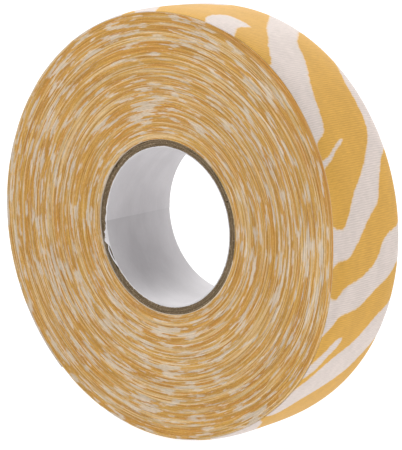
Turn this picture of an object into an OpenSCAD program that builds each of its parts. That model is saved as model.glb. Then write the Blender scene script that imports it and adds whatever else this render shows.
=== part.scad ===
// Roll of cloth grip tape on a cardboard core, standing on its rim.
// The roll's axis is Y, the origin is the centre of the core's hole, and +Z is up.
// Angles round the roll run from +X towards +Z, which is the way the tape winds outwards.
// The inner turns are one solid. The last turn and the free end are strips of cloth
// with a coat of adhesive on their inner side.

/* [Core] */
// Radius of the hole through the core
bore_r = 19.05; // [12:0.05:40]
// Thickness of the white paper that lines the hole
liner_t = 0.15; // [0.1:0.05:0.4]
// Thickness of one chipboard ply
ply_t = 0.6; // [0.3:0.05:1.2]
// Width of the open butt seam in each ply
seam_w = 0.3; // [0.1:0.05:1]

/* [Tape] */
// Width of the tape, and so of the roll
tape_w = 24; // [12:0.5:50]
// Thickness of the woven cloth
cloth_t = 0.20; // [0.14:0.01:0.4]
// Thickness of the adhesive coat on the cloth's inner side
adhesive_t = 0.07; // [0.04:0.01:0.15]
// Half turns stuck down on the core, an odd number
half_turns = 221; // [21:2:401]

/* [Free end] */
// Angle round the roll at which the free end starts to lift
lift_deg = 165; // [100:1:170]
// Angle that each hinged length of the free end covers
length_deg = 8; // [4:0.5:9]
// Clear space between the free end and what it touches
clear = 0.04; // [0.02:0.01:0.1]

/* [Hidden] */
// Every turn adds one thickness of coated cloth to the radius.
pitch = cloth_t + adhesive_t;
core_r = bore_r + liner_t + 3 * ply_t;
// The spiral is made of half circles about two centres, a quarter pitch each side
// of the axis, so that each half turn ends where the next one starts.
centre_shift = pitch / 4;
first_r = core_r + centre_shift;
split_deg = lift_deg - 180;
tail_r = first_r + half_turns * pitch / 2 + clear;
clear_deg = clear / tail_r * 180 / PI;
tail_count = 8;
cut_over = 1;
round_fn = 96;

// Turns a shape drawn about Z so that it lies about the roll's axis
module on_axis(deg) {
  rotate([90, 0, 0]) rotate([0, 0, deg]) children();
}

// Straight tube about the roll's axis
module tube(inner_r, wall) {
  on_axis(0) difference() {
    cylinder(h = tape_w, r = inner_r + wall, center = true, $fn = round_fn);
    cylinder(h = tape_w + cut_over, r = inner_r, center = true, $fn = round_fn);
  }
}

// One chipboard ply, number 0 to 2 from the hole outwards, open at its butt seam
module ply(number, seam_deg) {
  inner_r = bore_r + liner_t + number * ply_t;
  difference() {
    tube(inner_r, ply_t);
    on_axis(seam_deg) translate([inner_r, 0, 0])
      cube([3 * ply_t, seam_w, tape_w + cut_over], center = true);
  }
}

// Arc of half turn k between two radii, over part of its 180 degrees
module arc(k, inner_r, outer_r, from_deg, to_deg) {
  even = k % 2 == 0;
  on_axis(split_deg) translate([even ? -centre_shift : centre_shift, 0, 0])
    rotate([0, 0, from_deg + (even ? 0 : 180)])
      rotate_extrude(angle = to_deg - from_deg, $fn = round_fn)
        translate([inner_r, -tape_w / 2]) square([outer_r - inner_r, tape_w]);
}

// Radius of the inner side of half turn k, about its own centre
function turn_r(k) = first_r + k * pitch / 2;

// All the turns under the last one, with the step that the last turn starts from
module inner_turns() {
  difference() {
    for (k = [half_turns - 2, half_turns - 1]) arc(k, core_r / 2, turn_r(k), 0, 180);
    on_axis(0) cylinder(h = tape_w + cut_over, r = core_r, center = true, $fn = round_fn);
  }
}

// One layer of the last turn, which starts lift above the strip's inner side
module last_turn(lift, thick) {
  for (k = [half_turns - 2, half_turns - 1])
    arc(k, turn_r(k) + lift, turn_r(k) + lift + thick, 0, 180);
}

// One layer of hinged length i of the free end, counted from 1
module tail_length(i, lift, thick) {
  arc(half_turns, tail_r + lift, tail_r + lift + thick,
      (i - 1) * length_deg + clear_deg, i * length_deg);
}

module core_liner() { color("white") tube(bore_r, liner_t); }
module core_ply_inner() { color("#7a6a55") ply(0, 262); }
module core_ply_middle() { color("#6f604c") ply(1, 24); }
module core_ply_outer() { color("#7a6a55") ply(2, 141); }
module tape_pack() { color("#dcb46a") inner_turns(); }
module last_turn_adhesive() { color("#e6dcc4") last_turn(0, adhesive_t); }
module last_turn_cloth() { color("#e0ad4c") last_turn(adhesive_t, cloth_t); }
module tail_adhesive(i) { color("#e6dcc4") tail_length(i, 0, adhesive_t); }
module tail_cloth(i) { color("#e0ad4c") tail_length(i, adhesive_t, cloth_t); }

core_liner();
core_ply_inner();
core_ply_middle();
core_ply_outer();
tape_pack();
last_turn_adhesive();
last_turn_cloth();
for (i = [1 : tail_count]) {
  tail_adhesive(i);
  tail_cloth(i);
}
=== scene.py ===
import math

import bpy
import numpy as np
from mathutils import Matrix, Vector


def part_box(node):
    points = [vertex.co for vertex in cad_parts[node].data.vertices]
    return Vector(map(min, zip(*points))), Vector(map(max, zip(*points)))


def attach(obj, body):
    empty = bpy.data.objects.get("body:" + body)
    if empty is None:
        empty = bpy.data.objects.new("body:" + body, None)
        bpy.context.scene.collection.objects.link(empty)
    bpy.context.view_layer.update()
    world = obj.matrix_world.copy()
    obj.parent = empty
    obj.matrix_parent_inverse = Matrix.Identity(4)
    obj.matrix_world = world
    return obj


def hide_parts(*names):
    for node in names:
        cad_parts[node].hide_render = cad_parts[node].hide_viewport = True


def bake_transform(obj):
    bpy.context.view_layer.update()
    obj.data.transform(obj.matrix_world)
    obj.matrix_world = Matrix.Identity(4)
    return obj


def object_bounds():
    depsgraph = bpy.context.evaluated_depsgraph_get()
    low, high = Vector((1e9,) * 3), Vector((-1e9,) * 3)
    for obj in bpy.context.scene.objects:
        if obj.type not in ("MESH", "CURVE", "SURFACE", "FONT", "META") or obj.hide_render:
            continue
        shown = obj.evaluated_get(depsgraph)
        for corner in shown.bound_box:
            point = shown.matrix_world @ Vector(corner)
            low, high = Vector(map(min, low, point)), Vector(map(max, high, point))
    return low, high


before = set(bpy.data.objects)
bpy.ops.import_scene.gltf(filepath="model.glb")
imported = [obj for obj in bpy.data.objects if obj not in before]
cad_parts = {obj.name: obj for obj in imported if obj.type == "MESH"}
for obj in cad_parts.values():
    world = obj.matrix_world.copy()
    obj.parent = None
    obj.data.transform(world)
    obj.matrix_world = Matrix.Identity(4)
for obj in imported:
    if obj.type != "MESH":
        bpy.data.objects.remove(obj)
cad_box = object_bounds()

# Roll of printed cloth grip tape on a chipboard core with a paper liner.
# Lengths are in millimetres and angles in degrees until a mesh or the camera is made.
# Angles round the roll run from +X towards +Z, which is the way the tape winds outwards.
# A place along the tape is a number of turns from its inner end.

MM = 0.001

# Sizes from the frame
HALF_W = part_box("tape_pack")[1].y / MM
CORE_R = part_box("core_ply_outer")[1].x / MM
LINER_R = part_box("core_liner")[1].x / MM
FLOOR_Z = cad_box[0].z / MM

# The tape as the frame winds it
CLOTH_T = 0.20
ADHESIVE_T = 0.07
PITCH = CLOTH_T + ADHESIVE_T
STUCK_TURNS = 110.5
PACK_TURNS = STUCK_TURNS - 1
TAIL_DEG = 165
SPLIT_DEG = TAIL_DEG - 180
LENGTH_DEG = 8
TAIL_COUNT = 8
TAIL_CLEAR = 0.04
CENTRE_SHIFT = PITCH / 4

# The board of the core. Each ply is open at the angle of its seam. The ends are rough cuts, a
# little askew and set back from the tape's edges. -1 is the front side and 1 the back.
PLY_SEAMS = {"core_ply_inner": 262, "core_ply_middle": 24, "core_ply_outer": 141}
PLY_T = (CORE_R - LINER_R) / len(PLY_SEAMS)
SEAM_W = 0.3
CORE_SET_BACK = {-1: 0.36, 1: 0.3}
CORE_TILT = 0.12
CORE_STEPS = 360
PLY_SHARES = [0.0, 0.08, 0.25, 0.5, 0.75, 0.92, 1.0]
PLY_ROUNDING = 0.12
PLY_ROUGHNESS = 0.03

# Painted shade on the board's ends: how dark it is at the core's two edges and in the joints
# between the plies, and the width of the painted shadow beside the tucked paper
CORE_EDGE_SHADE = 0.75
CORE_EDGE_SHADE_DEPTH = 0.1
PLY_JOINT_SHADE = 0.3
TUCK_SHADOW_W = 0.5

# The paper in the core. It laps over itself at one angle. Its torn front edge folds out over the
# board in places, each an (angle, width, height), and a strip of it is tucked in between the plies
# along a line of (angle, radius).
LINER_T = 0.15
BORE_R = LINER_R - LINER_T
LAP_DEG = 182
LAP_GAP_DEG = 0.1
LAP_STEP = 0.10
LAP_FADE_DEG = 26
LAP_SHINE = 0.3
# How much lighter the torn, folded edge and the tucked strip are painted: a painted highlight.
TORN_HIGHLIGHT = 2.2
TORN_ROUGHNESS = 0.02
FOLD_LEAST = 0.04
FOLD_SHARES = (0.7, 1)
FOLD_ROUGHNESS = 0.08
TORN_FOLDS = [
    (172, 3, 0.2), (181, 3, 0.4), (186, 1.5, 0.4), (190, 2.5, 1.0), (196, 3.2, 1.7), (92, 4, 0.15),
]
TUCK = [(197, 19.6), (203, 20.0), (210, 19.7), (218, 19.16)]
TUCK_STEPS = 44
TUCK_ROUGHNESS = 0.015
TUCK_STANDS = 0.08
TUCK_DEPTH = 1.0

# The cloth's weave: ribs across the tape, with so many in each hinged length of the free end
RIBS_PER_LENGTH = 13
STEPS_PER_RIB = 4
RIB_PITCH = math.radians(LENGTH_DEG / RIBS_PER_LENGTH) * (CORE_R + STUCK_TURNS * PITCH)
RIB_DEPTH = 0.035
WARP_PITCH = 0.42
CLOTH_ROWS = 33
UNDER_ROWS = 7
CLOTH_ROUNDING = 0.05

# The mesh of the wound turns. Between two grooves, each layer's edge has ridges at these shares
# of the pitch, each at its own depth.
TURN_STEPS = 144
GROOVE = 0.07
RIDGES = {0.30: 0.0, 0.72: 0.005}
RIDGE_ROUGHNESS = 0.008
WALL_ROWS = 9

# How the roll differs from a plain cylinder, growing from nothing at the core: it is crowned
# across the tape and it tapers towards the back
CROWN = 0.80
TAPER = 0.355
SWELL_POWER = 1.5

# Humps round the front rim, each an (angle, width, height). The turns swell out, more and more
# from one turn on. The last turn eases back from them. The outer turns are darker, and those
# under them less and less so.
RIM_SWELLS = [(-2, 20, 1.7)]
RIM_SWELLS_FROM = 50
LAST_SET_BACK = [(54, 18, 0.65), (-42, 16, 0.35)]
LAST_EASE_TURNS = 0.6
DARK_RIM = [(36, 34, 1.0)]
DARK_RIM_FULL_TURNS = 1.2
DARK_RIM_FADE_TURNS = 4

# Sideways wander of the tape as it was wound, as (changes in a turn, size)
WANDERS = [(0.12, 0.05), (0.9, 0.03), (3, 0.02), (11, 0.01)]
WANDER_TURNS = 120

# The print repeats along the tape. Its stripes are closed outlines of (angle, distance
# across the tape) on the last turn, and the front rim is at minus half the width. A point that
# is past the reach of every stripe counts as far outside.
PRINT_REPEAT_DEG = 180
STRIPES = {
    "blob": [
        (66.5, -13), (68, -10), (69.5, -7.5), (69, -5), (69, -3.5), (73, -3), (77, -3.5),
        (78.5, -6.5), (78.5, -9), (77, -11.5), (74, -13),
    ],
    "broad": [
        (77.5, 14), (74.5, 10), (71, 5.5), (67, 0.5), (63, -3), (59.5, -6.5), (56, -9),
        (53.5, -11), (52, -14), (40, -15), (30, -15), (22, -15.5), (22, -13.5), (26, -13),
        (28.5, -12), (30, -10.5), (31.5, -8.5), (36, -7), (40, -6), (44, -4.5), (47.5, -2.5),
        (50.5, -0.5), (54, 1.5), (58, 3.5), (60, 5), (62.5, 8), (64.5, 10.5), (66, 14),
    ],
    "spur": [
        (28.8, -3.8), (27, -7), (25, -10), (24, -12.5), (24.5, -15), (20, -15), (22, -12.5),
        (24, -9.5), (26, -7), (28, -3.7),
    ],
    "second": [
        (54, 14), (48, 10.5), (44, 9), (39, 8.5), (33, 8), (29, 7), (26, 5), (22, 2), (18, -1.5),
        (15, -4.5), (12, -6.5), (8.5, -8.5), (6.2, -10), (6, -12), (7, -15), (-3, -15),
        (-2.3, -12), (-1.8, -9), (0, -7), (3, -4.5), (6, -2), (8.5, 0.5), (11, 3.5), (15, 5),
        (19, 7), (22, 9), (24, 11.5), (25, 14), (40, 15),
    ],
    "third": [
        (6, 14), (4, 11.5), (3, 9), (2.2, 6.5), (0.5, 4.5), (-2.5, 3), (-5, 1), (-7, -2),
        (-8.2, -5), (-9, -8), (-10.5, -10), (-12.5, -11.7), (-12, -15), (-25, -15),
        (-22.5, -12.5), (-20.3, -10.8), (-17.5, -9), (-16.7, -6), (-16, -2.5), (-13.5, 1),
        (-11.5, 4), (-10, 7), (-8.5, 9), (-6.5, 11), (-4, 14),
    ],
    "wedge": [
        (-24, -5.5), (-25, -7.5), (-27.5, -9.3), (-30.5, -11.2), (-33.5, -12.5), (-37, -12.5),
        (-35.5, -10.7), (-32.5, -9), (-30, -8), (-28, -6.5), (-26, -5.2),
    ],
    "long": [
        (-15.5, 14), (-18, 10.5), (-20, 7), (-22.5, 4.5), (-25.5, 2), (-28, -0.8), (-30, -4),
        (-32.5, -6.8), (-35.5, -8.8), (-39, -10.8), (-43, -12.2), (-48, -13), (-54, -13),
        (-52.5, -10), (-50, -8.5), (-47, -6.5), (-44.5, -3.5), (-42, 0), (-39.5, 3), (-37, 5.3),
        (-33.8, 7.3), (-31, 9.5), (-28.5, 12), (-26.5, 15),
    ],
    "under": [
        (-55.5, -14), (-57, -10.8), (-59.5, -9), (-62, -7.5), (-67, -4), (-73, -4), (-74, -14),
        (-64, -15),
    ],
    "crest": [
        (92.5, -15), (93.5, -12), (95, -9.5), (97, -6), (97, -2.5), (94, 0.5), (91, 3), (87.5, 5),
        (86.5, 7.5), (88.5, 11), (91, 14), (112, 14), (113, -1), (105, -8), (98, -14),
    ],
}
OUTLINE_STEPS = 4
STRIPE_REACH = 3
FAR_OUTSIDE = -99.0

# Seeds of the random shapes, and of the noise in the layers
WANDER_SEED = 7
RIDGE_SEED = 11
PLY_SEED = 20
PAPER_SEED = 31
LAYER_SEED = 40.0

# Camera and floor. The camera aims a little right of and below the middle of the roll.
CAMERA_AZIMUTH = 39.65
CAMERA_ELEVATION = 10.43
CAMERA_DISTANCE = 788.8
CAMERA_LENS = 263.2
AIM_RIGHT = 0.58
AIM_UP = -1.12
NEAREST = 50
FARTHEST = 30000
FLOOR_HALF = 6000
SWELL_SAMPLES = 99

# Light: a bright floor and sky, and soft panels, each a (place in metres, size in metres, power)
FLOOR_GLOW = 0.95
FLOOR_GREY = 0.15
SKY_FRONT = 0.0
SKY_BACK = 1.07
SKY_TOWARDS = (-0.6, 0.8, 0.0)
SKY_FADE = (-0.4, 0.6)
PANELS = {
    "panel_behind": ((-0.45, 0.9, 0.75), 0.5, 7.3),
    "panel_left": ((-0.8, -0.9, 0.6), 0.5, 9.1),
    "panel_right": ((1.1, 0.0, 0.1), 0.5, 3.3),
    "panel_through": ((1.1, 0.4, 0.2), 0.4, 0.6),
    "panel_above": ((0.35, 0.0, 1.3), 0.7, 8.3),
}


def add_camera():
    azimuth = math.radians(CAMERA_AZIMUTH)
    elevation = math.radians(CAMERA_ELEVATION)
    back = Vector((
        math.sin(azimuth) * math.cos(elevation),
        -math.cos(azimuth) * math.cos(elevation),
        math.sin(elevation),
    ))
    turned = (-back).to_track_quat("-Z", "Y")
    aim = turned @ Vector((AIM_RIGHT, AIM_UP, 0))
    camera = bpy.data.objects.new("camera", bpy.data.cameras.new("camera"))
    camera.data.lens = CAMERA_LENS
    camera.data.clip_start = NEAREST * MM
    camera.data.clip_end = FARTHEST * MM
    camera.rotation_mode = "QUATERNION"
    camera.rotation_quaternion = turned
    camera.location = (aim + back * CAMERA_DISTANCE) * MM
    bpy.context.scene.collection.objects.link(camera)
    bpy.context.scene.camera = camera


class Look:
    """A material, with short calls for the shader nodes that feed its Principled shader."""

    def __init__(self, name, roughness, sheen=0.0):
        self.material = bpy.data.materials.new(name)
        self.material.use_nodes = True
        self.tree = self.material.node_tree
        self.shader = self.tree.nodes["Principled BSDF"]
        self.shader.inputs["Roughness"].default_value = roughness
        self.shader.inputs["Sheen Weight"].default_value = sheen
        self.shader.inputs["Specular IOR Level"].default_value = 0.25

    def put(self, value, socket):
        if isinstance(value, bpy.types.NodeSocket):
            self.tree.links.new(value, socket)
        else:
            socket.default_value = value

    def add(self, kind, inputs, **settings):
        node = self.tree.nodes.new(kind)
        for name, value in settings.items():
            setattr(node, name, value)
        for name, value in inputs.items():
            self.put(value, node.inputs[name])
        return node

    def math(self, operation, a, b=0.0, c=0.0):
        return self.add("ShaderNodeMath", {0: a, 1: b, 2: c}, operation=operation).outputs[0]

    def between(self, value, low, high, to_low=0.0, to_high=1.0):
        """value, eased from low..high to to_low..to_high."""
        limits = {"From Min": low, "From Max": high, "To Min": to_low, "To Max": to_high}
        inputs = {"Value": value, **limits}
        node = self.add("ShaderNodeMapRange", inputs, interpolation_type="SMOOTHSTEP")
        return node.outputs["Result"]

    def mix(self, factor, a, b):
        """Colour a where factor is 0, and b where it is 1."""
        node = self.add("ShaderNodeMix", {"Factor": factor}, data_type="RGBA")
        self.put(a, node.inputs[6])
        self.put(b, node.inputs[7])
        return node.outputs[2]

    def times(self, vector, amount):
        """A colour or a place, times amount, which lightens or darkens a colour."""
        inputs = {0: vector, "Scale": amount}
        return self.add("ShaderNodeVectorMath", inputs, operation="SCALE").outputs[0]

    def place(self):
        """The point on the object, in millimetres."""
        return self.times(self.add("ShaderNodeTexCoord", {}).outputs["Object"], 1 / MM)

    def stretch(self, vector, x, y, z):
        inputs = {0: vector, 1: (x, y, z)}
        return self.add("ShaderNodeVectorMath", inputs, operation="MULTIPLY").outputs[0]

    def split(self, vector):
        return self.add("ShaderNodeSeparateXYZ", {0: vector}).outputs

    def value_of(self, name):
        return self.add("ShaderNodeAttribute", {}, attribute_name=name).outputs["Fac"]

    def vector_of(self, name):
        return self.add("ShaderNodeAttribute", {}, attribute_name=name).outputs["Vector"]

    def noise(self, vector, scale=1.0, detail=2.0, w=None):
        inputs = {"Vector": vector, "Scale": scale, "Detail": detail}
        if w is not None:
            inputs["W"] = w
        kind = "3D" if w is None else "4D"
        return self.add("ShaderNodeTexNoise", inputs, noise_dimensions=kind).outputs["Fac"]

    def wave(self, distance, pitch):
        """A sine between 0 and 1 that repeats each pitch."""
        angle = self.math("MULTIPLY", distance, 2 * math.pi / pitch)
        return self.math("MULTIPLY_ADD", self.math("SINE", angle), 0.5, 0.5)

    def bump(self, height, strength, distance):
        inputs = {"Height": height, "Strength": strength, "Distance": distance * MM}
        self.put(self.add("ShaderNodeBump", inputs).outputs[0], self.shader.inputs["Normal"])

    def finish(self, colour):
        self.put(colour, self.shader.inputs["Base Color"])
        return self.material


def colour(red, green, blue):
    """A screen colour, 0 to 255, as the shader's linear one."""
    def linear(level):
        level /= 255
        return level / 12.92 if level <= 0.04045 else ((level + 0.055) / 1.055) ** 2.4
    return (linear(red), linear(green), linear(blue), 1.0)


OCHRE = colour(213, 163, 72)
PEACH = colour(222, 194, 158)
OFF_WHITE = colour(217, 204, 197)
RAW_COTTON = colour(223, 208, 188)
PALE_THREAD = colour(230, 205, 160)
SIDE_OCHRE = colour(213, 167, 84)
SIDE_DEEP = colour(199, 141, 64)
RIM_BROWN = colour(196, 131, 60)
GLUE_PALE = colour(226, 208, 176)
GLUE_DEEP = colour(212, 190, 152)
BOARD_DARK = colour(102, 86, 64)
BOARD_LIGHT = colour(138, 118, 92)
BOARD_GRIT = colour(172, 156, 132)
PAPER_PALE = colour(208, 205, 207)
PAPER_DEEP = colour(200, 197, 199)


def cloth_look():
    """Printed cotton: ochre with off-white stripes and peach outlines, on ribs across the tape,
    with painted shade along the ribs and warp threads.
    """
    look = Look("printed_cloth", roughness=0.85, sheen=0.15)
    spot = look.vector_of("tape")
    along, across, _ = look.split(spot)
    wobble = look.noise(look.stretch(spot, 0.9, 0.9, 0), detail=3)
    threads = look.noise(look.stretch(spot, 2.5, 0.35, 0), detail=3)
    inside = look.math("MULTIPLY_ADD", wobble, 0.9, look.value_of("print"))
    inside = look.math("MULTIPLY_ADD", threads, 0.35, inside)
    tint = look.mix(look.between(inside, 0.32, 0.68), OCHRE, PEACH)
    tint = look.mix(look.between(inside, 0.52, 1.05), tint, OFF_WHITE)
    cloudy = look.noise(look.stretch(spot, 0.12, 0.2, 0), detail=3)
    tint = look.times(tint, look.between(cloudy, 0.3, 0.7, 0.96, 1.03))
    rib = look.wave(along, RIB_PITCH)
    warp = look.wave(look.math("MULTIPLY_ADD", threads, 0.2, across), WARP_PITCH)
    yarn = look.noise(look.stretch(spot, 4.0, 0.5, 0), detail=2)
    # Painted shade of the weave: darker once each rib and once each warp thread.
    tint = look.times(tint, look.between(rib, 0.0, 1.0, 0.92, 1.02))
    tint = look.times(tint, look.between(warp, 0.0, 1.0, 0.95, 1.02))
    tint = look.times(tint, look.between(yarn, 0.25, 0.75, 0.92, 1.05))
    height = look.math("ADD", look.math("MULTIPLY", warp, 0.3), yarn)
    look.bump(height, strength=0.35, distance=0.05)
    return look.finish(tint)


def wound_look():
    """The edges of the wound layers, each with its own tone, with flecks of bare cotton, and with
    painted shade in the grooves between the layers.
    """
    look = Look("wound_layers", roughness=0.9, sheen=0.1)
    spot = look.place()
    wind = look.value_of("wind")
    across = look.value_of("across")

    def along(scale, per_layer, detail=2):
        """Noise that runs along the layers and changes from one layer to the next."""
        w = look.math("MULTIPLY_ADD", wind, per_layer, LAYER_SEED)
        return look.noise(look.stretch(spot, scale, scale, scale), detail=detail, w=w)

    shade = along(0.12, 2.7, detail=1)
    tint = look.mix(look.between(shade, 0.32, 0.68), SIDE_DEEP, SIDE_OCHRE)
    threads = along(0.05, 0.9)
    tint = look.mix(look.between(threads, 0.48, 0.62, 0.0, 0.72), tint, PALE_THREAD)
    inside = look.math("MULTIPLY_ADD", along(0.6, 3.3), 0.16, along(0.19, 0.40))
    inside = look.math("MULTIPLY_ADD", along(0.06, 0.11), 0.35, inside)
    rim = look.value_of("rim")
    inside = look.math("MULTIPLY_ADD", rim, -0.2, inside)
    tint = look.mix(look.between(inside, 0.77, 0.88, 0.0, 0.85), tint, RAW_COTTON)
    fibres = along(1.4, 5.3)
    tint = look.mix(look.between(fibres, 0.55, 0.75, 0.0, 0.3), tint, RAW_COTTON)
    tint = look.times(tint, look.between(along(0.07, 1.6), 0.38, 0.62, 0.87, 1.09))
    tint = look.mix(look.math("MULTIPLY", rim, 0.45), tint, RIM_BROWN)
    tint = look.mix(look.value_of("bare"), tint, RAW_COTTON)
    # Painted shade: darker towards the grooves between the layers, standing for the shadow in them
    # and the adhesive that shows there.
    middle = look.math("PINGPONG", across, 0.5)
    tint = look.times(tint, look.between(middle, 0.0, 0.25, 0.68, 1.0))
    tint = look.times(tint, look.between(fibres, 0.25, 0.6, 0.88, 1.04))
    look.bump(fibres, strength=0.4, distance=0.08)
    return look.finish(tint)


def adhesive_look():
    """The rubbery coat on the tape's inner side, mottled, with fine strings across the tape."""
    look = Look("adhesive", roughness=0.55)
    spot = look.place()
    mottle = look.noise(look.stretch(spot, 0.5, 0.5, 0.5), detail=3)
    strings = look.noise(look.stretch(spot, 3.0, 0.6, 3.0), detail=2)
    tint = look.mix(look.between(mottle, 0.3, 0.7), GLUE_PALE, GLUE_DEEP)
    tint = look.times(tint, look.between(strings, 0.3, 0.7, 0.94, 1.03))
    look.bump(strings, strength=0.3, distance=0.04)
    return look.finish(tint)


def chipboard_look():
    """Grey-brown chipboard with fibres that run round the core, and painted shade in the gaps on
    its ends.
    """
    look = Look("chipboard", roughness=0.95)
    spot = look.place()
    x, _, z = look.split(spot)
    squares = look.math("ADD", look.math("MULTIPLY", x, x), look.math("MULTIPLY", z, z))
    outwards = look.math("MULTIPLY", look.math("SQRT", squares), 5.0)
    bands = look.noise(look.stretch(spot, 0.25, 0.5, 0.25), detail=3, w=outwards)
    grit = look.noise(spot, scale=3.0, detail=3)
    tint = look.mix(look.between(bands, 0.3, 0.7), BOARD_DARK, BOARD_LIGHT)
    tint = look.mix(look.between(grit, 0.55, 0.7, 0.0, 0.7), tint, BOARD_GRIT)
    tint = look.times(tint, look.between(grit, 0.3, 0.55, 0.75, 1.05))
    # Painted shade: darker at the core's edges, in the joints between the plies and beside the
    # tucked paper.
    tint = look.times(tint, look.between(look.value_of("line"), 0.0, 1.0, 1.0, 0.2))
    look.bump(look.math("ADD", bands, grit), strength=0.5, distance=0.12)
    return look.finish(tint)


def paper_look():
    """White liner paper, a little uneven, with a change of shade at its lap, and a painted
    highlight on its torn edge.
    """
    look = Look("liner_paper", roughness=0.6)
    spot = look.place()
    cloudy = look.noise(look.stretch(spot, 0.1, 0.2, 0.1), detail=3)
    fibres = look.noise(look.stretch(spot, 1.0, 2.0, 1.0), detail=3)
    tint = look.mix(look.between(cloudy, 0.3, 0.7), PAPER_PALE, PAPER_DEEP)
    tint = look.times(tint, look.between(fibres, 0.3, 0.7, 0.985, 1.01))
    # The lap's change of shade, and a painted highlight on the torn fold and the tucked strip.
    tint = look.times(tint, look.math("MULTIPLY_ADD", look.value_of("lap"), 0.12, 1.0))
    look.bump(look.math("MULTIPLY_ADD", cloudy, 3.0, fibres), strength=0.2, distance=0.05)
    return look.finish(tint)


class Parts:
    """Collects blocks of points, with their values, and the faces between them."""

    def __init__(self):
        self.points = []
        self.values = {}
        self.faces = []
        self.count = 0

    def add(self, radius, angle, y, **values):
        """Points about the roll's axis, with values for the shader. Returns the points' numbers, in
        the shape that the arrays share."""
        radius, angle, y = np.broadcast_arrays(radius, np.radians(angle), y)
        points = np.stack([radius * np.cos(angle), y, radius * np.sin(angle)], axis=-1)
        self.points.append(points.reshape(-1, 3))
        for name, value in values.items():
            value = np.asarray(value, float)
            shape = radius.shape + value.shape[radius.ndim:]
            value = np.broadcast_to(value, shape).reshape(radius.size, -1)
            self.values.setdefault(name, []).append(value)
        numbers = self.count + np.arange(radius.size).reshape(radius.shape)
        self.count += radius.size
        return numbers

    def join(self, one, other):
        """A row of four-cornered faces between two rows of points that run the way the tape winds.
        On the front, rows listed outwards face away from the roll."""
        for corners in zip(one[:-1], other[:-1], other[1:], one[1:]):
            self.face(*corners)

    def around(self, rows, closed=False):
        """A body from its section's rows, listed outwards on the front and inwards on the back. It
        runs all the way round if closed, and otherwise has a face at each end."""
        if closed:
            rows = [np.append(row, row[0]) for row in rows]
        else:
            self.face(*[row[0] for row in reversed(rows)])
            self.face(*[row[-1] for row in rows])
        for one, other in zip(rows, [*rows[1:], rows[0]]):
            self.join(one, other)

    def face(self, *corners):
        """A face, leaving out a corner that repeats the one before it."""
        kept = [int(c) for i, c in enumerate(corners) if c != corners[i - 1]]
        if len(kept) > 2:
            self.faces.append(kept)

    def build(self, name, material, sharp_deg=50):
        mesh = bpy.data.meshes.new(name)
        points = np.concatenate(self.points) * MM
        mesh.from_pydata(points.tolist(), [], self.faces)
        for value_name, blocks in self.values.items():
            block = np.concatenate(blocks).astype(np.float32)
            kind = "FLOAT" if block.shape[1] == 1 else "FLOAT_VECTOR"
            attribute = mesh.attributes.new(value_name, kind, "POINT")
            attribute.data.foreach_set("value" if kind == "FLOAT" else "vector", block.ravel())
        mesh.shade_smooth()
        mesh.set_sharp_from_angle(angle=math.radians(sharp_deg))
        mesh.materials.append(material)
        mesh.validate()
        piece = bpy.data.objects.new(name, mesh)
        bpy.context.scene.collection.objects.link(piece)
        return piece


def spiral_radius(turns):
    """Radius of the tape's inner side, that many turns along it. Its half turns swap between two
    centres, as they do in the frame."""
    half = np.floor(2 * turns + 1e-6)
    away = np.where(half % 2 == 0, -CENTRE_SHIFT, CENTRE_SHIFT)
    first = CORE_R + CENTRE_SHIFT
    return first + half * PITCH / 2 + away * np.cos(2 * math.pi * turns)


def swell(turns, y):
    """How far the crown and the taper lift the tape above its plain spiral."""
    share = np.clip(np.asarray(y) / HALF_W, -1, 1)
    lift = CROWN * (1 - share**4) - TAPER * share
    return lift * (np.asarray(turns) / STUCK_TURNS) ** SWELL_POWER


def lobes(shapes, angle):
    """A sum of smooth humps round the roll, each an (angle, width, height)."""
    total = 0
    for centre, width, height in shapes:
        away = (angle - centre + 180) % 360 - 180
        total = total + height * np.exp(-((away / width) ** 2))
    return total


def front_shift(turns):
    """How far back the tape's front edge lies from its plain place, which differs from 0 only in
    the outer turns."""
    angle = angle_at(turns)
    outer = np.clip((turns - RIM_SWELLS_FROM) / (STUCK_TURNS - RIM_SWELLS_FROM), 0, 1) ** 2
    last = np.clip(turns - PACK_TURNS + LAST_EASE_TURNS, 0, 1)
    return lobes(LAST_SET_BACK, angle) * last - lobes(RIM_SWELLS, angle) * outer


def wander(turns):
    """Sideways shift of the tape as it was wound, which both of its edges share."""
    rng = np.random.default_rng(WANDER_SEED)
    shift = 0
    for knots_per_turn, size in WANDERS:
        knots = rng.normal(0, size, int(WANDER_TURNS * knots_per_turn))
        shift = shift + np.interp(turns * knots_per_turn, np.arange(len(knots)), knots)
    return shift


def edge_y(side, turns, depth=0.0):
    """Where an edge of the tape lies across the roll. side is -1 at the front and 1 at the back."""
    shift = front_shift(turns) if side < 0 else 0
    return side * (HALF_W - depth) + wander(turns) + shift


def angle_at(turns):
    return SPLIT_DEG + 360 * turns


def turns_at(angle):
    """The place along the tape at an angle of the last turn or the free end. The angles start from
    TAIL_DEG and count on past 360."""
    return PACK_TURNS + (angle - TAIL_DEG) / 360


def core_end(side, angle):
    """Where the core ends across the roll. It sits a little askew in the tape."""
    return side * (HALF_W - CORE_SET_BACK[side]) - CORE_TILT * np.cos(np.radians(angle))


def end_shade(radius, angle, share):
    """How dark the painted shade on the board's ends is: at the core's edges and in the joints
    between the plies, and a painted shadow beside the tucked paper on the front end. share runs
    from 0 to 1 across each ply."""
    edge = np.minimum(radius - LINER_R, CORE_R - radius) < CORE_EDGE_SHADE_DEPTH
    lines = np.abs(2 * share - 1) ** 4 * np.where(edge, CORE_EDGE_SHADE, PLY_JOINT_SHADE)
    tuck = np.interp(angle % 360, *zip(*TUCK), left=0, right=0)
    return lines, np.exp(-(((radius - tuck) / TUCK_SHADOW_W) ** 2))


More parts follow.
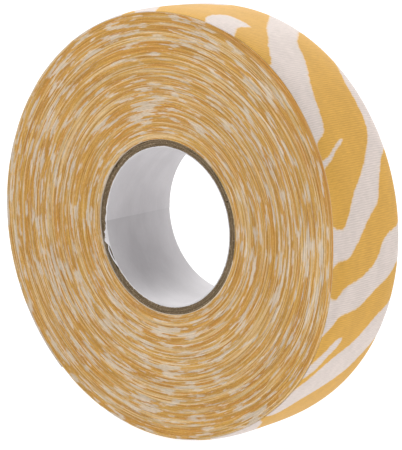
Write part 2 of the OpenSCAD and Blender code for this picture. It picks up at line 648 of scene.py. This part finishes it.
def add_ply(name, seam_deg, material):
    """One chipboard ply, open at its seam, with rough cut ends."""
    number = list(PLY_SEAMS).index(name)
    inner = LINER_R + number * PLY_T
    gap_deg = math.degrees(SEAM_W / 2 / inner)
    angle = np.linspace(seam_deg + gap_deg, seam_deg + 360 - gap_deg, CORE_STEPS + 1)
    share = np.array(PLY_SHARES)[:, None]
    radius = inner + PLY_T * share
    rounding = PLY_ROUNDING * np.abs(2 * share - 1) ** 6
    lines, tuck_shadow = end_shade(radius, angle, share)
    rng = np.random.default_rng(PLY_SEED + number)
    parts = Parts()
    ends = {}
    for side in (-1, 1):
        rough = rng.normal(0, PLY_ROUGHNESS, (len(share), len(angle)))
        y = core_end(side, angle) - side * rounding + rough
        # The painted shadow beside the tucked paper goes on the front end only.
        line = lines + tuck_shadow if side < 0 else lines
        ends[side] = parts.add(radius, angle, y, line=line)
    parts.around([*ends[-1], *ends[1][::-1]])
    piece = parts.build(name.replace("core_", "board_"), material)
    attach(piece, "roll")
    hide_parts(name)


def add_tucked_paper(parts, rng):
    """The strip of the liner that is tucked in between the plies and shows at their front ends,
    painted lighter as a highlight.
    """
    tuck_deg, tuck_r = np.array(TUCK, float).T
    angle = np.linspace(tuck_deg[0], tuck_deg[-1], TUCK_STEPS + 1)
    middle = np.interp(angle, tuck_deg, tuck_r) + rng.normal(0, TUCK_ROUGHNESS, len(angle))
    from_end = np.minimum(angle - angle[0], angle[-1] - angle)
    half = LINER_T / 2 * np.minimum(2, 0.3 + 0.3 * from_end)
    front = core_end(-1, angle) - TUCK_STANDS
    back = front + TUCK_DEPTH
    section = [(-half, front), (half, front), (half, back), (-half, back)]
    parts.around([parts.add(middle + away, angle, y, lap=TORN_HIGHLIGHT) for away, y in section])


def add_liner(material):
    """The paper in the core. It laps over itself, and its torn front edge folds over the board,
    with a painted highlight on the fold.
    """
    rng = np.random.default_rng(PAPER_SEED)
    angle = np.linspace(LAP_DEG, LAP_DEG + 360 - LAP_GAP_DEG, CORE_STEPS + 1)
    past = angle - LAP_DEG
    after_lap = np.exp(-past / LAP_FADE_DEG)
    before_lap = np.exp(-(360 - past) / LAP_FADE_DEG)
    inner = BORE_R + LAP_STEP * after_lap
    fold = FOLD_LEAST + lobes(TORN_FOLDS, angle) * rng.uniform(*FOLD_SHARES, len(angle))
    fold = LINER_R + fold + rng.uniform(0, FOLD_ROUGHNESS, len(angle))
    front = core_end(-1, angle) + rng.normal(0, TORN_ROUGHNESS, len(angle))
    back = core_end(1, angle)
    face = front - LINER_T / 2
    section = [
        (inner, face), (fold, face), (fold, front),
        (LINER_R, front), (LINER_R, back), (inner, back),
    ]
    lap = (LAP_SHINE * before_lap - after_lap) * np.array([1, 1, 1, 1, 0.3, 0.3])[:, None]
    # A painted highlight on the front face of the torn fold.
    lap[1:3] += TORN_HIGHLIGHT
    parts = Parts()
    rows = [parts.add(radius, angle, y, lap=row) for (radius, y), row in zip(section, lap)]
    parts.around(rows, closed=True)
    add_tucked_paper(parts, rng)
    piece = parts.build("paper_liner", material)
    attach(piece, "roll")
    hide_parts("core_liner")


def add_ring(parts, turns, y, share, lift=0.0):
    """A row of points along the wound turns. share is how far across its layer the row lies."""
    angle = angle_at(turns)
    radius = spiral_radius(turns) + lift + swell(turns, y)
    full_from = PACK_TURNS - DARK_RIM_FULL_TURNS
    outer = np.clip((turns - full_from) / DARK_RIM_FADE_TURNS + 1, 0, 1)
    rim = lobes(DARK_RIM, angle) * outer
    return parts.add(radius, angle, y, wind=turns, across=share, bare=0.0, rim=rim)


def add_wound_side(parts, side, count, rng):
    """One side of the wound turns: a groove between layers and ridges on each. Returns its row at
    the core, its row under the last turn, and the points of the step where the last turn starts."""
    turns = np.arange(count + 1) / TURN_STEPS
    groove_turns = np.arange(count + TURN_STEPS + 1) / TURN_STEPS
    rough = rng.normal(0, RIDGE_ROUGHNESS, (len(RIDGES), len(turns)))
    groove = add_ring(parts, groove_turns, edge_y(side, groove_turns, GROOVE), 0.0)
    ridges = [
        add_ring(parts, turns, edge_y(side, turns, depth) + rough[row], share, share * PITCH)
        for row, (share, depth) in enumerate(RIDGES.items())
    ]
    first = turns[:TURN_STEPS]
    core_y = edge_y(side, first, GROOVE)
    core = parts.add(CORE_R, angle_at(first), core_y, wind=0.0, across=0.5, bare=1.0, rim=0.0)
    core[0] = groove[0]
    rows = [groove[:count + 1], *ridges, groove[TURN_STEPS:]]
    pairs = [*zip(rows[:-1], rows[1:]), (core, groove[:TURN_STEPS])]
    second = [groove[TURN_STEPS], groove[TURN_STEPS - 1]]
    start = [core[-1], core[0], *[row[0] for row in ridges], *second]
    for one, other in pairs:
        if side < 0:
            parts.join(one, other)
        else:
            parts.join(other, one)
    parts.face(*start[::side])
    step = [groove[count], *[row[-1] for row in ridges], groove[-1]]
    return np.append(core, core[0]), groove[count:], step


def wound_turns(material):
    """All the turns under the last one, as one closed ring with every layer's edge on its sides."""
    count = round(PACK_TURNS * TURN_STEPS)
    rng = np.random.default_rng(RIDGE_SEED)
    parts = Parts()
    bore, front, step = add_wound_side(parts, -1, count, rng)
    back_bore, back, back_step = add_wound_side(parts, 1, count, rng)
    parts.join(back_bore, bore)
    wall_turns = np.arange(count, count + TURN_STEPS + 1) / TURN_STEPS
    low, high = edge_y(-1, wall_turns, GROOVE), edge_y(1, wall_turns, GROOVE)
    between = [
        add_ring(parts, wall_turns, low + (high - low) * share, 0.5)
        for share in np.linspace(0, 1, WALL_ROWS)[1:-1]
    ]
    wall = [front, *between, back]
    for one, other in zip(wall[:-1], wall[1:]):
        parts.join(one, other)
    far_end = [row[-1] for row in between]
    near_end = [row[0] for row in between]
    parts.face(*step, *far_end, *reversed(back_step), *reversed(near_end))
    piece = parts.build("wound_turns", material)
    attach(piece, "roll")
    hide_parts("tape_pack")
    return piece


def smooth_outline(points):
    """Rounds a closed outline with a Catmull-Rom curve through its points."""
    knots = np.array(points, float)
    before, after, last = (np.roll(knots, shift, axis=0) for shift in (1, -1, -2))
    curve = []
    for t in np.arange(OUTLINE_STEPS) / OUTLINE_STEPS:
        curve.append(0.5 * (
            2 * knots + (after - before) * t
            + (2 * before - 5 * knots + 4 * after - last) * t**2
            + (3 * knots - before - 3 * after + last) * t**3
        ))
    return np.stack(curve, axis=1).reshape(-1, 2)


def stripe_field(angle, y):
    """How far inside a stripe of the print each point lies, in millimetres, and below 0 outside."""
    mm_per_deg = math.radians(CORE_R + STUCK_TURNS * PITCH)
    low = min(a for outline in STRIPES.values() for a, _ in outline)
    angle, y = np.broadcast_arrays(angle, y)
    turned = (angle - low) % PRINT_REPEAT_DEG + low
    spots = np.stack([turned * mm_per_deg, y], axis=-1).reshape(-1, 2)
    best = np.full(len(spots), FAR_OUTSIDE)
    for outline in STRIPES.values():
        for repeat in (-PRINT_REPEAT_DEG, 0, PRINT_REPEAT_DEG):
            curve = (smooth_outline(outline) + (repeat, 0)) * (mm_per_deg, 1)
            low_end = curve[:, 0].min() - STRIPE_REACH
            high_end = curve[:, 0].max() + STRIPE_REACH
            near = (spots[:, 0] > low_end) & (spots[:, 0] < high_end)
            if near.any():
                best[near] = np.maximum(best[near], inside_distance(spots[near], curve))
    return best.reshape(turned.shape)


def inside_distance(spots, curve):
    """Signed distance from points to a closed outline, positive inside."""
    nearest = np.full(len(spots), np.inf)
    crossings = np.zeros(len(spots), bool)
    for start, end in zip(curve, np.roll(curve, -1, axis=0)):
        edge = end - start
        share = np.clip((spots - start) @ edge / max(edge @ edge, 1e-12), 0, 1)
        gap = spots - start - share[:, None] * edge
        nearest = np.minimum(nearest, (gap**2).sum(1))
        if start[1] != end[1]:
            spans = (start[1] > spots[:, 1]) != (end[1] > spots[:, 1])
            meets = start[0] + (spots[:, 1] - start[1]) * edge[0] / edge[1]
            crossings ^= spans & (spots[:, 0] < meets)
    return np.sqrt(nearest) * np.where(crossings, 1, -1)


def add_strip(name, material, from_deg, to_deg, is_cloth):
    """A closed length of the tape's cloth or of its adhesive, from one angle to another. Angles
    start from TAIL_DEG on the last turn and count on past 360 on the free end."""
    rows, per_rib = (CLOTH_ROWS, STEPS_PER_RIB) if is_cloth else (UNDER_ROWS, 1)
    steps = round((to_deg - from_deg) * RIBS_PER_LENGTH * per_rib / LENGTH_DEG)
    angle = np.linspace(from_deg, to_deg, steps + 1)
    turns = turns_at(angle)
    raised = TAIL_CLEAR * np.clip((angle - TAIL_DEG - 360) / (LENGTH_DEG / 2) + 1, 0, 1)
    inner = spiral_radius(turns) + raised + (ADHESIVE_T if is_cloth else 0)
    along = np.radians(angle) * (CORE_R + STUCK_TURNS * PITCH)
    front, back = edge_y(-1, turns), edge_y(1, turns)
    parts = Parts()

    def sheet(shares, radius):
        y = front + (back - front) * (np.asarray(shares)[:, None] + 1) / 2
        tape = np.stack(np.broadcast_arrays(along, y, 1.0), axis=-1)
        field = stripe_field(angle - 360, y) if is_cloth else np.zeros_like(y)
        return parts.add(radius + swell(turns, y), angle, y, print=field, tape=tape)

    shares = np.linspace(-1, 1, rows)
    if is_cloth:
        rib = 0.5 - 0.5 * np.cos(2 * math.pi * along / RIB_PITCH)
        rounded = CLOTH_ROUNDING * (np.abs(shares[:, None]) == 1)
        top = sheet(shares, inner + CLOTH_T - RIB_DEPTH * rib - rounded)
    else:
        top = sheet(shares, inner + ADHESIVE_T)
    under = sheet(np.linspace(-1, 1, UNDER_ROWS), inner)
    parts.around([*top, *under[::-1]])
    return parts.build(name, material, sharp_deg=60)


def last_turn(name, layer, material):
    """One layer of the last turn, up to where the free end starts to bend."""
    end = TAIL_DEG + 360 - LENGTH_DEG / 2
    piece = add_strip(name, material, TAIL_DEG, end, layer == "cloth")
    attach(piece, "roll")
    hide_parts(f"last_turn_{layer}")
    return piece


def free_end(name, layer, material):
    """One layer of the free end, in pieces, each around one hinge angle of the frame. They meet
    midway between hinges."""
    pieces = []
    for number in range(1, TAIL_COUNT + 1):
        hinge = TAIL_DEG + 360 + (number - 1) * LENGTH_DEG
        start = hinge - LENGTH_DEG / 2
        middle = hinge + LENGTH_DEG / 2
        end = hinge + LENGTH_DEG if number == TAIL_COUNT else middle
        piece = add_strip(f"{name}_{number}", material, start, end, layer == "cloth")
        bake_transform(piece)
        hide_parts(f"tail_{layer}_{number}")
        pieces.append(piece)
    return pieces


def add_floor(material):
    """A floor that touches the roll's crown."""
    crown = swell(STUCK_TURNS, np.linspace(-HALF_W, HALF_W, SWELL_SAMPLES)).max()
    z = (FLOOR_Z - float(crown)) * MM
    size = FLOOR_HALF * MM
    corners = [(-size, -size, z), (size, -size, z), (size, size, z), (-size, size, z)]
    mesh = bpy.data.meshes.new("floor")
    mesh.from_pydata(corners, [], [(0, 1, 2, 3)])
    mesh.materials.append(material)
    floor = bpy.data.objects.new("floor", mesh)
    bpy.context.scene.collection.objects.link(floor)


def floor_look():
    look = Look("studio_floor", roughness=0.9)
    look.shader.inputs["Emission Color"].default_value = (1.0, 1.0, 1.0, 1.0)
    look.shader.inputs["Emission Strength"].default_value = FLOOR_GLOW
    return look.finish((FLOOR_GREY, FLOOR_GREY, FLOOR_GREY, 1.0))


def add_panel(name, place, size, power):
    """A soft square light that faces the roll. place and size are in metres."""
    light = bpy.data.lights.new(name, "AREA")
    light.shape = "SQUARE"
    light.size = size
    light.energy = power
    panel = bpy.data.objects.new(name, light)
    panel.location = place
    panel.rotation_mode = "QUATERNION"
    panel.rotation_quaternion = (-Vector(place)).to_track_quat("-Z", "Y")
    bpy.context.scene.collection.objects.link(panel)


def add_sky():
    """A sky that lights the roll from behind and not from the front. It looks white all round."""
    world = bpy.data.worlds.new("studio")
    world.use_nodes = True
    nodes, links = world.node_tree.nodes, world.node_tree.links
    towards = nodes.new("ShaderNodeTexCoord")
    behind = nodes.new("ShaderNodeVectorMath")
    behind.operation = "DOT_PRODUCT"
    behind.inputs[1].default_value = SKY_TOWARDS
    glow = nodes.new("ShaderNodeMapRange")
    glow.interpolation_type = "SMOOTHSTEP"
    low, high = SKY_FADE
    limits = {"From Min": low, "From Max": high, "To Min": SKY_FRONT, "To Max": SKY_BACK}
    for name, value in limits.items():
        glow.inputs[name].default_value = value
    links.new(towards.outputs["Generated"], behind.inputs[0])
    links.new(behind.outputs["Value"], glow.inputs["Value"])
    seen = nodes.new("ShaderNodeLightPath")
    strength = nodes.new("ShaderNodeMath")
    strength.operation = "MAXIMUM"
    links.new(glow.outputs["Result"], strength.inputs[0])
    links.new(seen.outputs["Is Camera Ray"], strength.inputs[1])
    links.new(strength.outputs["Value"], nodes["Background"].inputs["Strength"])
    nodes["Background"].inputs["Color"].default_value = (1.0, 1.0, 1.0, 1.0)
    bpy.context.scene.world = world


def add_studio():
    add_sky()
    bpy.context.scene.view_settings.view_transform = "Standard"
    add_floor(floor_look())
    for name, (place, size, power) in PANELS.items():
        add_panel(name, place, size, power)


add_camera()
add_studio()
cloth, wound, adhesive = cloth_look(), wound_look(), adhesive_look()
chipboard = chipboard_look()
for ply_name, ply_seam_deg in PLY_SEAMS.items():
    add_ply(ply_name, ply_seam_deg, chipboard)
add_liner(paper_look())
pack = wound_turns(wound)
outer = last_turn("last_turn_of_tape", "cloth", cloth)
outer_glue = last_turn("last_turn_coat", "adhesive", adhesive)
tail_cloth = free_end("tail_of_tape", "cloth", cloth)
tail_glue = free_end("tail_coat", "adhesive", adhesive)
